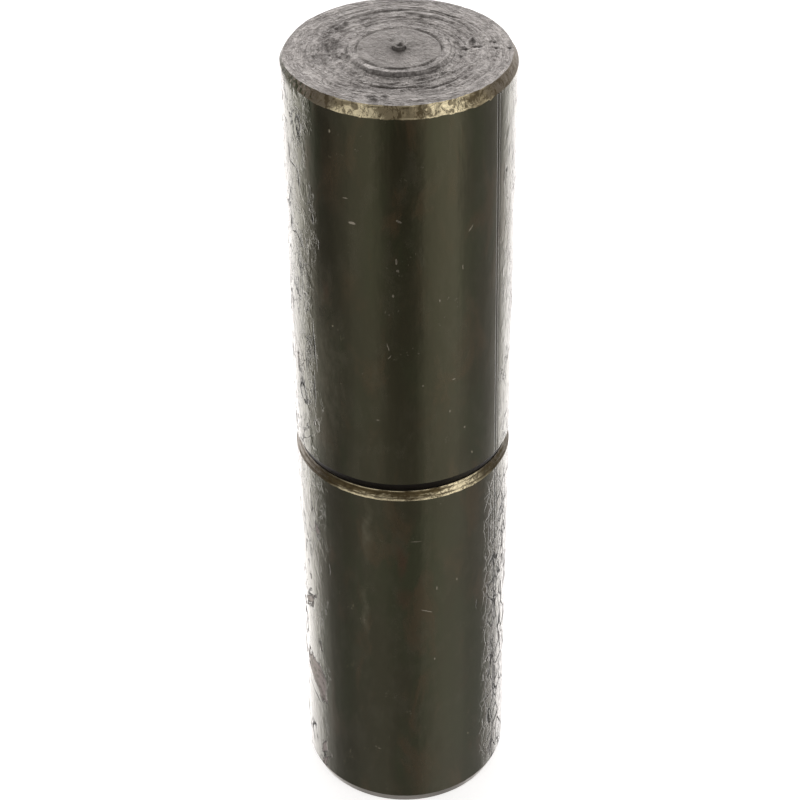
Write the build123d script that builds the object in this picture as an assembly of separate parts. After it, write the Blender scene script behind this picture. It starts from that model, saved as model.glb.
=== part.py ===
"""Weld-on barrel hinge, sizes in millimetres.

Two round steel barrels stand end to end on one axis. The lower one is welded to the post and holds a
fixed pin. The upper one is welded to the leaf, drops over the pin and rides on a steel ball, so that
the two joint faces never rub. The leaf turns about the pin and lifts off upwards.

The origin is the centre of the lower barrel's foot, on the hinge axis, and +Z is up along that axis.
"""

import math
import os

from build123d import *

# Barrels
barrel_d = 40.0
lower_length = 81.0
upper_length = 78.7
joint_gap = 0.3  # slit between the joint faces, held open by the ball

# Bevels, as (inward, along the barrel)
crown_bevel = (1.0, 1.8)
joint_bevel = (0.7, 1.7)
foot_bevel = (0.8, 2.0)

# Parted-off top face: a raised ring and disc around the stub that the parting tool left
ring_d = 17.8
disc_d = 14.4
disc_rise = 0.4
ring_slope = 0.3
groove_width = 0.7
groove_depth = 0.3
stub_d = 2.3
stub_height = 0.9
stub_taper = 0.3

# Hinge pin
pin_d = 20.0
pin_seat = 40.0  # length held in the lower barrel
pin_proud = 42.0  # length standing out of it
pin_lead = 1.5
pin_heel = 0.8
running_clearance = 0.08  # on the radius, between pin and upper bore

# Thrust ball and its seats
ball_d = 16.0
ball_play = 0.05  # at each seat
cup_d = 10.0
cup_angle = 120.0

# Drilled bores
drill_angle = 118.0
mouth_bevel = 0.8

barrel_r = barrel_d / 2
pin_r = pin_d / 2
ball_r = ball_d / 2
bore_r = pin_r + running_clearance

pin_foot = lower_length - pin_seat
pin_top = lower_length + pin_proud
upper_foot = lower_length + joint_gap
upper_top = upper_foot + upper_length


def cone_depth(radius, full_angle):
    """The depth of a cone with that mouth radius and full angle."""
    return radius / math.tan(math.radians(full_angle / 2))


def centre_from_tip(radius, full_angle):
    """How far a ball's centre stands from the tip of the cone that it touches."""
    return radius / math.sin(math.radians(full_angle / 2))


cup_tip = pin_top - cone_depth(cup_d / 2, cup_angle)
ball_centre = cup_tip + centre_from_tip(ball_r, cup_angle) + ball_play
upper_bore_tip = ball_centre + centre_from_tip(ball_r, drill_angle) + ball_play
upper_bore_end = upper_bore_tip - cone_depth(bore_r, drill_angle)
lower_bore_tip = pin_foot - cone_depth(pin_r, drill_angle)


def turned(*outline):
    """The solid that a half outline of (radius, height) points sweeps about the hinge axis."""
    profile = Polyline(*[(radius, 0, height) for radius, height in outline], close=True)
    return revolve(make_face(profile), Axis.Z)


def lower_barrel():
    """The post's barrel: bevelled bar with a blind seat for the pin, drilled from the joint face."""
    return turned(
        (0, 0),
        (barrel_r - foot_bevel[0], 0),
        (barrel_r, foot_bevel[1]),
        (barrel_r, lower_length - joint_bevel[1]),
        (barrel_r - joint_bevel[0], lower_length),
        (pin_r + mouth_bevel, lower_length),
        (pin_r, lower_length - mouth_bevel),
        (pin_r, pin_foot),
        (0, lower_bore_tip),
    )


def hinge_pin():
    """The fixed pin, seated in the lower barrel, with a cup for the ball in its top end."""
    return turned(
        (0, pin_foot),
        (pin_r - pin_heel, pin_foot),
        (pin_r, pin_foot + pin_heel),
        (pin_r, pin_top - pin_lead),
        (pin_r - pin_lead, pin_top),
        (cup_d / 2, pin_top),
        (0, cup_tip),
    )


def thrust_ball():
    """The ball that carries the leaf, between the pin's cup and the drill point of the upper bore."""
    return Pos(0, 0, ball_centre) * Sphere(ball_r)


def parted_face():
    """The upper barrel's top, from its bevel inwards to the axis, as the parting tool left it."""
    disc_top = upper_top + disc_rise
    disc_r = disc_d / 2
    stub_r = stub_d / 2
    return [
        (barrel_r - crown_bevel[0], upper_top),
        (ring_d / 2, upper_top),
        (ring_d / 2 - ring_slope, disc_top),
        (disc_r + groove_width / 2, disc_top),
        (disc_r, disc_top - groove_depth),
        (disc_r - groove_width / 2, disc_top),
        (stub_r, disc_top),
        (stub_r - stub_taper, disc_top + stub_height),
        (0, disc_top + stub_height),
    ]


def upper_barrel():
    """The leaf's barrel: parted-off bar with a blind running bore, drilled from the joint face."""
    return turned(
        (0, upper_bore_tip),
        (bore_r, upper_bore_end),
        (bore_r, upper_foot + mouth_bevel),
        (bore_r + mouth_bevel, upper_foot),
        (barrel_r - joint_bevel[0], upper_foot),
        (barrel_r, upper_foot + joint_bevel[1]),
        (barrel_r, upper_top - crown_bevel[1]),
        *parted_face(),
    )


pieces = {
    "lower_barrel": lower_barrel(),
    "hinge_pin": hinge_pin(),
    "thrust_ball": thrust_ball(),
    "upper_barrel": upper_barrel(),
}

os.makedirs("parts", exist_ok=True)
for name, piece in pieces.items():
    export_step(piece, f"parts/{name}.step")
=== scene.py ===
import math
from functools import partial

import bpy
import numpy as np
from bpy.props import FloatProperty, FloatVectorProperty, IntProperty, PointerProperty
from bpy.types import Operator, Panel, PropertyGroup
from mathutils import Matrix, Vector, noise


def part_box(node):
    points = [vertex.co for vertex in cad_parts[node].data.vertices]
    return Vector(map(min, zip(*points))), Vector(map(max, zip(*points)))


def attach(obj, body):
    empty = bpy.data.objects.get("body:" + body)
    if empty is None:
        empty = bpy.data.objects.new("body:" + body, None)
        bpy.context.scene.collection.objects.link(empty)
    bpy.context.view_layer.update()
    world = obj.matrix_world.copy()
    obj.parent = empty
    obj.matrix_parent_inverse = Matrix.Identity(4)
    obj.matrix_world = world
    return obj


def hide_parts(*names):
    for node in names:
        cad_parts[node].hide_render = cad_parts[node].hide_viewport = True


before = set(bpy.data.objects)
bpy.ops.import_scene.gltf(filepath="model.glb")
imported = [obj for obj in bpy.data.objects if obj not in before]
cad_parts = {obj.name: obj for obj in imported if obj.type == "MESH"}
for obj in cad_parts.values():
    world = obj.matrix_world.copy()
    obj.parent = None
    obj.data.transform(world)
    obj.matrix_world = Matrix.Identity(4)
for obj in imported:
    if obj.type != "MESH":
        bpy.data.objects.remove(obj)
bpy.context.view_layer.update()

bl_info = {
    "name": "Weld-on barrel hinge",
    "version": (1, 0, 0),
    "blender": (4, 5, 0),
    "location": "View3D > Sidebar > Barrel hinge",
    "description": "Models and finishes a turned weld-on hinge over its packed frame",
    "category": "Object",
}

MM = 0.001
LOWER_LOW, LOWER_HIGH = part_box("lower_barrel")
UPPER_LOW, UPPER_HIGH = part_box("upper_barrel")
PIN_LOW, PIN_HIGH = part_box("hinge_pin")
BALL_LOW, BALL_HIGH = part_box("thrust_ball")

BARREL_R = UPPER_HIGH.x
PIN_R = PIN_HIGH.x
BALL_R = (BALL_HIGH.z - BALL_LOW.z) / 2

NEAR = 0.01 * MM  # how close to a surface still counts as on it
FRONT_HALF = 39.9  # how many degrees to either side of the front the skin is seen face on
DRILL_HALF = math.radians(59)  # half the angle of a drill's point
CUP_HALF = math.radians(60)  # half the angle of the pin's cup

UPPER_SEED, LOWER_SEED = 3.0, 14.0  # what the noises of each barrel's bright bevel start from

# The material slots of a barrel: its skin on the flanks, the bevel that shows, its end, its machined
# inside or foot, its skin in front, and the bevel that the joint hides, painted near black as shade.
FLANK, BEVEL, END, TURNED, FRONT, HIDDEN = range(6)


def linear(hex_colour):
    """An sRGB hex colour as linear red, green, blue and alpha."""
    values = [int(hex_colour[i : i + 2], 16) / 255 for i in (1, 3, 5)]
    return [v / 12.92 if v <= 0.04045 else ((v + 0.055) / 1.055) ** 2.4 for v in values] + [1.0]


def length(name, description, metres):
    """A length setting."""
    return FloatProperty(
        name=name, description=description, default=metres, unit="LENGTH", subtype="DISTANCE"
    )


def colour(name, description, hex_colour):
    """A colour setting, given as sRGB hex."""
    return FloatVectorProperty(
        name=name, description=description, default=linear(hex_colour), size=4, min=0, max=1, subtype="COLOR"
    )


class HingeSizes(PropertyGroup):
    """The sizes that the frame's boxes don't give."""

    crown_in: length("Crown bevel, inward", "How far the top bevel cuts in", 1.0 * MM)
    crown_down: length("Crown bevel, down", "How far the top bevel runs down the barrel", 1.8 * MM)
    joint_in: length("Joint bevel, inward", "How far the joint bevels cut in", 0.7 * MM)
    joint_along: length("Joint bevel, along", "How far the joint bevels run along the barrels", 1.7 * MM)
    foot_in: length("Foot bevel, inward", "How far the foot bevel cuts in", 0.8 * MM)
    foot_up: length("Foot bevel, up", "How far the foot bevel runs up the barrel", 2.0 * MM)
    mouth: length("Bore mouth bevel", "The bevel at the mouth of each bore", 0.8 * MM)
    ring_r: length("Ring radius", "Outer radius of the raised ring on the parted face", 8.9 * MM)
    disc_r: length("Disc radius", "Radius of the smoother disc inside the ring", 7.2 * MM)
    disc_rise: length("Disc rise", "Height of ring and disc over the outer field", 0.4 * MM)
    stub_r: length("Stub radius", "Radius of the stub that the parting tool left", 1.15 * MM)
    stub_height: length("Stub height", "Height of the stub over the disc", 0.9 * MM)
    clearance: length("Running clearance", "Gap on the radius between pin and upper bore", 0.08 * MM)
    pin_lead: length("Pin lead", "Bevel on the pin's top end", 1.5 * MM)
    pin_heel: length("Pin heel", "Bevel on the pin's foot", 0.8 * MM)
    cup_r: length("Cup radius", "Mouth radius of the cup that holds the ball", 5.0 * MM)
    segments: IntProperty(name="Segments", description="Faces round each turned piece", default=448, min=32)


class HingeColours(PropertyGroup):
    """The finishes, as the eye sees them."""

    scale: colour("Mill scale", "Oiled dark scale on the bar", "#1d1a10")
    scale_green: colour("Green scale", "Oil stains with a green cast", "#1c2112")
    scale_brown: colour("Browned scale", "Warmer patches in the scale", "#332619")
    scale_dusty: colour("Dusty scale", "Dry film that greys the scale", "#35322a")
    stain: colour("Rusty stain", "Reddish stains on the scale", "#33160f")
    smear: colour("Smear", "Oil smeared and dried", "#545044")
    sheen: colour("Sheen", "What the oil film gives back of the light", "#f8f5c4")
    # Painted shade with dirt: the near black laid in the cracks, flake edges and seams of the skin.
    split: colour("Splits", "Grime in cracks and seams", "#0c0a08")
    peeled: colour("Peeled patch", "Grey steel where the scale has come off", "#84787c")
    peeled_dark: colour("Peeled patch, pits", "Rusted pits in the peeled steel", "#4a4145")
    nick: colour("Nick", "Bare steel in small knocks", "#948e80")
    # Bevel colours: the bright gold is also laid as painted highlights, and the four after it are painted
    # shade mixed with oil and dirt.
    bevel: colour("Bevel", "Bare steel under straw-coloured oil", "#eadeb8")
    bevel_dull: colour("Dull bevel", "Brown oil and scale left on the bevels", "#90856a")
    bevel_side_dirt_and_shade: colour("Bevel, flanks", "Grime on the top bevel's flanks", "#70685a")
    joint_bevel_oil_and_shade: colour("Oiled bevel", "Thick oil on the joint bevel", "#655a40")
    joint_side_dirt_and_shade: colour("Joint bevel, flanks", "Grime on the joint bevel's flanks", "#4a422e")
    foot: colour("Foot bevel", "Bare grey steel at the foot", "#a9a59d")
    parted: colour("Parted face", "Torn grey steel", "#8c8985")
    parted_disc: colour("Parted face, disc", "Smeared steel at the middle", "#726f6b")
    # Laid in the torn grooves and pits, and as a painted shadow at the front foot of the stub.
    parted_dark: colour("Parted face, hollows", "Grime in the torn grooves", "#423d39")
    faced: colour("Faced joint", "Turned joint face", "#b9b4aa")
    pin: colour("Pin", "Ground and greased pin", "#c2beb6")
    ball: colour("Ball", "Polished hard steel", "#d6d6d6")


class HingeStage(PropertyGroup):
    """Where the camera stands."""

    camera_x: length("Camera across", "Camera position along X", -0.44 * MM)
    camera_back: length("Camera distance", "How far the camera stands in front of the hinge axis", 326.7 * MM)
    camera_up: length("Camera height", "Height of the camera over the floor", 331.6 * MM)
    tilt: FloatProperty(
        name="Tilt", description="How far the camera looks down", default=math.radians(36.8), subtype="ANGLE"
    )
    roll: FloatProperty(
        name="Roll", description="How far the camera leans", default=math.radians(-0.59), subtype="ANGLE"
    )
    lens: FloatProperty(name="Lens", description="Focal length", default=98.4, unit="CAMERA")


# ---------------------------------------------------------------- turned blanks


def deselect_all():
    """Nothing stays selected, so that the next operator acts on its own piece alone."""
    if bpy.context.object and bpy.context.object.mode != "OBJECT":
        bpy.ops.object.mode_set(mode="OBJECT")
    bpy.ops.object.select_all(action="DESELECT")


def stations(corners):
    """Points down a half section: each corner is (radius, height, longest step to the next corner)."""
    points = []
    for (r0, z0, step), (r1, z1, _) in zip(corners, corners[1:]):
        count = max(1, math.ceil(math.hypot(r1 - r0, z1 - z0) / step))
        points += [(r0 + (r1 - r0) * i / count, z0 + (z1 - z0) * i / count) for i in range(count)]
    return points + [corners[-1][:2]]


def turned_blank(name, corners, segments):
    """A closed solid of revolution: a wire is drawn down the half section and spun about the axis."""
    deselect_all()
    points = stations(corners)
    bpy.ops.mesh.primitive_plane_add(size=MM, location=(points[0][0], 0, points[0][1]))
    piece = bpy.context.object
    piece.name = piece.data.name = name
    bpy.ops.object.mode_set(mode="EDIT")
    bpy.ops.mesh.select_mode(type="VERT")
    bpy.ops.mesh.merge(type="CENTER")
    for (r0, z0), (r1, z1) in zip(points, points[1:]):
        bpy.ops.mesh.extrude_vertices_move(TRANSFORM_OT_translate={"value": (r1 - r0, 0, z1 - z0)})
    bpy.ops.mesh.select_all(action="SELECT")
    bpy.ops.mesh.spin(steps=segments, angle=2 * math.pi, center=(0, 0, 0), axis=(0, 0, 1))
    bpy.ops.mesh.select_all(action="SELECT")
    bpy.ops.mesh.remove_doubles(threshold=MM / 2000)
    bpy.ops.mesh.normals_make_consistent(inside=False)
    bpy.ops.object.mode_set(mode="OBJECT")
    bpy.ops.object.transform_apply(location=True, rotation=True, scale=True)
    return piece


def points_of(piece):
    """The piece's vertices as an array of X, Y, Z rows."""
    values = np.empty(len(piece.data.vertices) * 3)
    piece.data.vertices.foreach_get("co", values)
    return values.reshape(-1, 3)


def set_points(piece, points):
    """Writes the moved vertices back."""
    piece.data.vertices.foreach_set("co", points.ravel())
    piece.data.update()


def from_front(points):
    """How far round each point is from the front, in degrees, more than 0 on the right."""
    return np.degrees(np.arctan2(points[:, 0], -points[:, 1]))


def face_middles(piece):
    """Radius and height of each face's middle, and how far round from the front it is, in degrees."""
    values = np.empty(len(piece.data.polygons) * 3)
    piece.data.polygons.foreach_get("center", values)
    middles = values.reshape(-1, 3)
    return np.hypot(middles[:, 0], middles[:, 1]), middles[:, 2], from_front(middles)


def dress(piece, materials, zones):
    """Puts one material on each zone's faces."""
    for material in materials:
        piece.data.materials.append(material)
    piece.data.polygons.foreach_set("material_index", zones.astype(np.int32))
    deselect_all()
    piece.select_set(True)
    bpy.context.view_layer.objects.active = piece
    bpy.ops.object.shade_smooth_by_angle(angle=math.radians(60))
    sharpen_borders(piece, zones)


def sharpen_borders(piece, zones):
    """Keeps a crisp corner wherever two zones meet, but not inside the bar's skin."""
    zones = np.where(zones == FRONT, FLANK, zones)
    edges = np.empty(len(piece.data.loops), dtype=np.int32)
    piece.data.loops.foreach_get("edge_index", edges)
    sides = np.empty(len(piece.data.polygons), dtype=np.int32)
    piece.data.polygons.foreach_get("loop_total", sides)
    zone = np.repeat(zones, sides)
    least, most = np.full(len(piece.data.edges), 99.0), np.full(len(piece.data.edges), -1.0)
    np.minimum.at(least, edges, zone)
    np.maximum.at(most, edges, zone)
    sharp = np.empty(len(piece.data.edges), dtype=bool)
    piece.data.edges.foreach_get("use_edge_sharp", sharp)
    piece.data.edges.foreach_set("use_edge_sharp", sharp | (most > least))


# ---------------------------------------------------------------- wear and tool marks


def ring_noise(points, around, across, shift=0.0):
    """Noise drawn out round the axis: `around` sets its detail round the ring and `across` the
    features per metre of radius."""
    values = np.empty(len(points))
    for i, (x, y, z) in enumerate(points):
        r = math.hypot(x, y) or 1e-9
        values[i] = noise.noise(Vector((x / r * around + shift, y / r * around, r * across)))
    return values


def crease(values, width):
    """1 along the zero lines of a noise, falling to 0 at `width`: it draws thin branching furrows."""
    return np.clip(1 - np.abs(values) / width, 0, 1)


def ramp(values, places, heights):
    """Straight runs between (place, height) pairs."""
    return np.interp(values, places, heights)


def window(values, middle, reach):
    """1 at the middle, falling softly to 0 at `reach` from it."""
    near = np.clip(1 - np.abs(values - middle) / reach, 0, 1)
    return near * near * (3 - 2 * near)


def sector(angle, middle, reach):
    """1 at a bearing in degrees, falling softly to 0 at `reach` degrees to either side."""
    turned = (np.degrees(angle) - middle + 180) % 360 - 180
    return window(turned, 0, reach)


def twisted(points, turn):
    """The points wound into a spiral, `turn` radians to the metre of radius."""
    angle = np.hypot(points[:, 0], points[:, 1]) * turn
    c, s = np.cos(angle), np.sin(angle)
    x, y, z = points.T
    return np.column_stack((x * c - y * s, x * s + y * c, z))


def mark(piece, name, values):
    """Stores one value per vertex for the finish to read."""
    layer = piece.data.attributes.new(name, "FLOAT", "POINT")
    layer.data.foreach_set("value", values)


def bearings(points):
    """How far round each point is from +X, in radians."""
    return np.arctan2(points[:, 1], points[:, 0])


def nicked_rim(points, base, outer, inner, seed, bite, worst=0.0, faded=0.0, covered=0.0):
    """Makes a bevel's two edges wander and its face uneven, as a blunt tool leaves them. outer and
    inner are its corners as (radius, height), on the barrel's side and on its end. worst is the
    bearing in degrees where the tool tore most, faded the share of the bevel that is missing at the
    back, where the tool cut least, and covered the share that skin from the bar hides on the left."""
    r = np.hypot(base[:, 0], base[:, 1])
    angle = bearings(base)
    out = np.column_stack((np.cos(angle), np.sin(angle), np.zeros(len(r))))
    on_bevel = (np.abs(cross_of(base, r, outer, inner)) < 1e-7) & (r > inner[0] - 1e-6)
    on_bevel &= (base[:, 2] - outer[1]) * (base[:, 2] - inner[1]) <= 1e-12
    bite = bite * (0.75 + 1.0 * sector(angle, worst, 60))
    wander = wandering(out, seed) * bite
    trim = wandering(out, seed + 40.0) * bite * 0.6
    share = np.clip((base[:, 2] - outer[1]) / (inner[1] - outer[1]), 0, 1)
    up = 1.0 if inner[1] > outer[1] else -1.0
    missing = faded * (1 - sector(angle, -88, 150)) + covered * sector(angle, -168, 36)
    wander -= missing * abs(inner[1] - outer[1])
    trim -= missing * (outer[0] - inner[0])
    rough = uneven(base, seed)
    side = (~on_bevel) & (np.abs(r - outer[0]) < 1e-6)
    end = (~on_bevel) & (np.abs(base[:, 2] - inner[1]) < 1e-6) & (r < inner[0])
    side_pull = np.where(side, np.clip(1 - np.abs(base[:, 2] - outer[1]) / (4 * MM), 0, 1) ** 2, 0)
    end_pull = np.where(end, np.clip(1 - (inner[0] - r) / (3 * MM), 0, 1) ** 2, 0)
    lift = np.where(on_bevel, (1 - share), side_pull) * wander * -up
    draw = np.where(on_bevel, share, end_pull) * trim
    edge_fade = np.where(on_bevel, np.minimum(share, 1 - share) * 4, 0).clip(0, 1)
    points[:, 2] += lift
    points += out * (-draw - rough * edge_fade * bite * 0.25)[:, None]
    return np.where(on_bevel, share, -1)


def worn_edges(base, share, seed):
    """1 along a bevel's two edges, where handling has polished them and painted highlights brighten them, in
    broken lengths.
    """
    rubbed_and_highlit = np.clip(ring_noise(base, 7, 0, seed) * 3 + 0.75, 0, 1)
    return np.maximum(window(share, 0.03, 0.16), window(share, 0.97, 0.12)) * rubbed_and_highlit


def crown_grime(base, share):
    """How dull the top bevel is painted, by bearing: bright gold as painted highlights on both sides of the
    front, most of all along its lower edge, with painted shade on its upper half, and dull with dirt and
    painted shade between and beyond."""
    bearing = from_front(base)
    grime = ramp(
        bearing,
        [-62, -45, -37, -29, -22, -13, -8, 9, 13, 20, 29, 35, 46, 60],
        [1.0, 0.9, 0.7, 0.45, 0.15, 0.2, 0.85, 0.9, 0.45, 0.1, 0.15, 0.6, 0.75, 1.0],
    )
    # Painted shade on the bevel's upper half.
    upper = ramp(bearing, [-60, -40, -10, 0, 30], [0.5, 0.6, 0.6, 0.2, 0.2])
    return grime + upper * (np.clip(share, 0, 1) - 0.45)


def joint_grime(base, share):
    """How dull the joint bevel is painted, by bearing: bright on the right, where it is torn and takes
    painted highlights, and darkest along its upper half on the left, with dirt and painted shade under the
    upper barrel."""
    bearing = from_front(base)
    grime = ramp(
        bearing,
        [-70, -45, -30, -12, 0, 14, 30, 52, 66, 80],
        [1.0, 0.85, 0.65, 0.5, 0.7, 0.6, 0.25, 0.3, 0.6, 1.0],
    )
    # Painted shade along the bevel's upper half, next to the gap under the upper barrel.
    upper = ramp(bearing, [-60, -10, 14, 30], [0.8, 0.8, 0.5, 0.1])
    return grime + upper * (np.clip(share, 0, 1) - 0.5)


def cross_of(base, r, outer, inner):
    """How far each vertex lies off the line between a bevel's corners."""
    along = (inner[0] - outer[0], inner[1] - outer[1])
    size = math.hypot(*along)
    return ((r - outer[0]) * along[1] - (base[:, 2] - outer[1]) * along[0]) / size


def wandering(out, seed):
    """How far an edge strays at each angle, from 0 to about 1: slow waves and sharp little nicks."""
    values = np.empty(len(out))
    for i, (x, y, _) in enumerate(out):
        slow = noise.noise(Vector((x * 3, y * 3, seed)))
        quick = noise.noise(Vector((x * 13, y * 13, seed + 7)))
        nick = noise.noise(Vector((x * 26, y * 26, seed + 15)))
        values[i] = 0.35 + 0.4 * slow + 0.3 * quick + max(0.0, nick - 0.25) * 0.9
    return np.clip(values, 0, 1.2)


def uneven(base, seed):
    """Facets and tears on a bevel."""
    values = np.empty(len(base))
    for i, (x, y, z) in enumerate(base):
        values[i] = noise.turbulence(Vector((x, y, z)) * 700 + Vector((seed, 0, 0)), 3, False)
    return values


# ---------------------------------------------------------------- materials

SMOOTH = {"interpolation_type": "SMOOTHSTEP"}


def add_node(tree, kind, *values, output=0, inputs=None, **named):
    """Adds a node and gives back one of its outputs. values fill its inputs in order and inputs fills
    them by number. Of the named ones, a capital starts an input's name and a small letter a setting's."""
    made = tree.nodes.new("ShaderNode" + kind)
    filled = dict(enumerate(values)) | (inputs or {})
    for key, value in named.items():
        if key[0].isupper():
            filled[key.replace("_", " ")] = value
        else:
            setattr(made, key, value)
    for socket, value in filled.items():
        if isinstance(value, bpy.types.NodeSocket):
            tree.links.new(value, made.inputs[socket])
        else:
            made.inputs[socket].default_value = value
    return made.outputs[output] if made.outputs else None


def new_material(name):
    """An empty node material, and add_node bound to its tree."""
    material = bpy.data.materials.new(name)
    material.use_nodes = True
    material.node_tree.nodes.clear()
    return material, partial(add_node, material.node_tree)


def stretched(add, x=1.0, y=1.0, z=1.0):
    """The piece's own coordinates, stretched."""
    return add("Mapping", Vector=add("TexCoord", output="Object"), Scale=(x, y, z))


def distance_out(add):
    """Distance from the axis."""
    flat = add("VectorMath", add("TexCoord", output="Object"), (1, 1, 0), operation="MULTIPLY")
    return add("VectorMath", flat, operation="LENGTH", output="Value")


def side_coordinates(add):
    """Place on the barrel's side: how far round from the front, and how high."""
    apart = add("SeparateXYZ", add("TexCoord", output="Object")).node.outputs
    front = add("Math", apart["Y"], -1.0, operation="MULTIPLY")
    bearing = add("Math", apart["X"], front, operation="ARCTAN2")
    arc = add("Math", bearing, BARREL_R, operation="MULTIPLY")
    return add("CombineXYZ", arc, apart["Z"], 0.0)


def ring_coordinates(add, around, across):
    """Coordinates for tool marks that run round the axis: `around` sets their detail round the ring
    and `across` the marks per metre."""
    place = add("TexCoord", output="Object")
    flat = add("VectorMath", place, (1, 1, 0), operation="MULTIPLY")
    direction = add("VectorMath", flat, operation="NORMALIZE")
    wide = add("VectorMath", direction, Scale=around, operation="SCALE")
    path = add("Math", distance_out(add), add("SeparateXYZ", place, output="Z"), operation="ADD")
    fine = add("Math", path, across, operation="MULTIPLY")
    apart = add("SeparateXYZ", wide).node.outputs
    return add("CombineXYZ", apart["X"], apart["Y"], fine)


def strayed(add, vector, scale, reach):
    """Coordinates pushed about by a noise, up to `reach` to either side."""
    cloud = add("TexNoise", Vector=vector, Scale=scale, Detail=3, output="Color")
    apart = add("SeparateColor", cloud).node.outputs
    shift = add("CombineXYZ", apart[0], apart[1], 0.5)
    shift = add("VectorMath", shift, (0.5, 0.5, 0.5), operation="SUBTRACT")
    return add("VectorMath", shift, (2 * reach, 2 * reach, 0), vector, operation="MULTIPLY_ADD")


def relief(add, *layers):
    """The normals of several reliefs laid over one another: each layer is (height from 0 to 1, its full
    rise in millimetres)."""
    total = 0.0
    for height, rise in layers:
        total = add("Math", height, rise, total, operation="MULTIPLY_ADD")
    return add("Bump", Height=total, Distance=MM)


def painted(add, tint, *coats):
    """A colour under its coats, each given as (how much of it lies there, its own colour)."""
    for share, coat in coats:
        tint = add("Mix", inputs={0: share, 6: tint, 7: coat}, output=2, data_type="RGBA")
    return tint


def fissures(add, height, level, near, far, strength=1.0, **shape):
    """Lines where a height passes a level: `strength` up to `near` from it, and 0 from `far` on."""
    off = add("Math", add("Math", height, level, operation="SUBTRACT"), operation="ABSOLUTE")
    return add("MapRange", off, near, far, strength, 0.0, **shape)


def outlines(add, side, marks, scale, reach, rim=None, core=0.75):
    """1 inside small ovals drawn on the side, and 0 outside them. marks lists each oval as (degrees
    from the front, height, half length, half width, lean in degrees), in millimetres. With rim, only a
    line along each oval's edge is 1, that share of its size wide. They fade from `core` of their size on,
    and a noise of that scale pushes their edges about, up to `reach`."""
    vector = strayed(add, side, scale, reach)
    nearest = 9.0
    for degrees, height, half_long, half_wide, lean in marks:
        x, z = math.radians(degrees) * BARREL_R, height * MM
        wide, tall = half_wide * MM, half_long * MM
        if lean:
            far = add(
                "Mapping", Vector=vector, vector_type="TEXTURE", Location=(x, z, 0),
                Rotation=(0, 0, math.radians(lean)), Scale=(wide, tall, 1),
            )
        else:
            grown, moved = (1 / wide, 1 / tall, 0), (-x / wide, -z / tall, 0)
            far = add("VectorMath", vector, grown, moved, operation="MULTIPLY_ADD")
        far = add("VectorMath", far, operation="LENGTH", output="Value")
        if rim:
            far = add("Math", add("Math", far, 1.0, operation="SUBTRACT"), operation="ABSOLUTE")
        nearest = add("Math", nearest, far, operation="MINIMUM")
    low, high = (rim * 0.25, rim) if rim else (core, 1.05)
    return add("MapRange", nearest, low, high, 1.0, 0.0)


# Small knocks: (degrees from the front, height, half length, half width, lean in degrees).
KNOCKS = (
    (-23.9, 137.7, 0.3, 0.7, 0), (-0.9, 138.9, 0.5, 0.2, 55), (-2.3, 131.0, 0.6, 0.15, 0),
    (-1.7, 129.2, 0.2, 0.25, 0), (-4.1, 124.1, 0.25, 0.18, 0), (-6.9, 113.4, 0.8, 0.08, 15),
    (-6.2, 111.3, 0.5, 0.08, -35), (10.4, 104.9, 0.15, 0.15, 0), (-12.6, 97.4, 0.1, 0.35, 0),
    (36.0, 135.1, 0.7, 0.1, -45), (31.5, 127.9, 0.5, 0.09, 0), (19.1, 122.3, 0.3, 0.1, 0),
    (26.9, 105.0, 0.1, 0.35, 0), (33.6, 93.5, 0.18, 0.16, 0), (38.6, 87.0, 0.25, 0.18, 0),
    (24.8, 98.2, 0.3, 0.1, 0), (-27.3, 142.2, 0.1, 0.5, 0), (-35.1, 154.1, 0.3, 0.2, 0),
    (-36.8, 115.3, 0.2, 0.18, 0), (12.3, 51.9, 1.25, 0.1, 64), (6.4, 69.4, 0.08, 1.1, 0),
    (17.9, 57.3, 0.5, 0.1, 0), (29.8, 58.0, 0.35, 0.12, 0), (40.6, 59.3, 0.35, 0.15, 0),
    (16.8, 39.2, 0.3, 0.12, 0), (38.7, 15.3, 0.15, 0.15, 0), (-40.5, 74.9, 1.0, 0.08, 0),
)

# Flakes of scale that stand out on the flanks, in the same terms.
FLAKES = (
    (-57.0, 152.0, 1.6, 0.7, 0), (-62.8, 96.1, 1.9, 1.0, 18), (-50.5, 90.5, 1.3, 0.6, 0),
    (-56.0, 117.0, 1.7, 0.5, 0), (-75.5, 36.6, 3.0, 1.1, 0), (-67.1, 8.0, 2.4, 1.3, 0),
    (63.0, 141.0, 1.4, 0.5, 0), (57.5, 57.0, 1.5, 0.8, 25), (58.5, 47.5, 1.8, 0.9, 20),
    (54.5, 42.5, 1.5, 0.9, 25), (57.0, 33.0, 2.2, 0.9, 12), (53.0, 28.0, 1.5, 0.8, 30),
    (66.0, 66.0, 1.8, 0.6, 0), (70.0, 52.0, 2.4, 0.6, 0),
)

# Splits in the scale, in the same terms.
SPLITS = (
    (-68.6, 145.3, 1.8, 0.3, 6), (-64.4, 143.7, 1.5, 0.17, 83), (-59.3, 143.0, 0.9, 0.2, 37),
    (-58.3, 141.0, 1.8, 0.24, 0), (-69.1, 131.0, 2.0, 0.38, 0), (-65.5, 129.9, 1.2, 0.22, -63),
    (-60.0, 129.2, 2.0, 0.24, 50), (-47.9, 135.4, 1.0, 0.24, 0), (-44.0, 131.0, 0.9, 0.17, 0),
    (-73.1, 125.3, 0.5, 0.4, 0), (-50.3, 109.0, 5.5, 0.22, 4), (-51.4, 99.0, 4.5, 0.2, 0),
    (-58.5, 104.0, 2.5, 0.18, 6), (-64.0, 20.5, 3.6, 0.16, 62), (44.0, 49.0, 1.2, 0.12, 0),
    (-44.5, 58.0, 1.6, 0.12, 0), (62.0, 27.0, 6.0, 0.2, 0), (53.5, 66.0, 4.5, 0.16, 0),
    (58.0, 52.0, 3.5, 0.18, 3),
)

# Marks left by the rolls: (place round from the front at the floor, half width, strength), in millimetres.
SEAMS = ((21.8, 0.2, 0.85), (22.5, 0.13, 0.6), (-46.0, 0.12, 0.35), (44.0, 0.12, 0.3))

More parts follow.
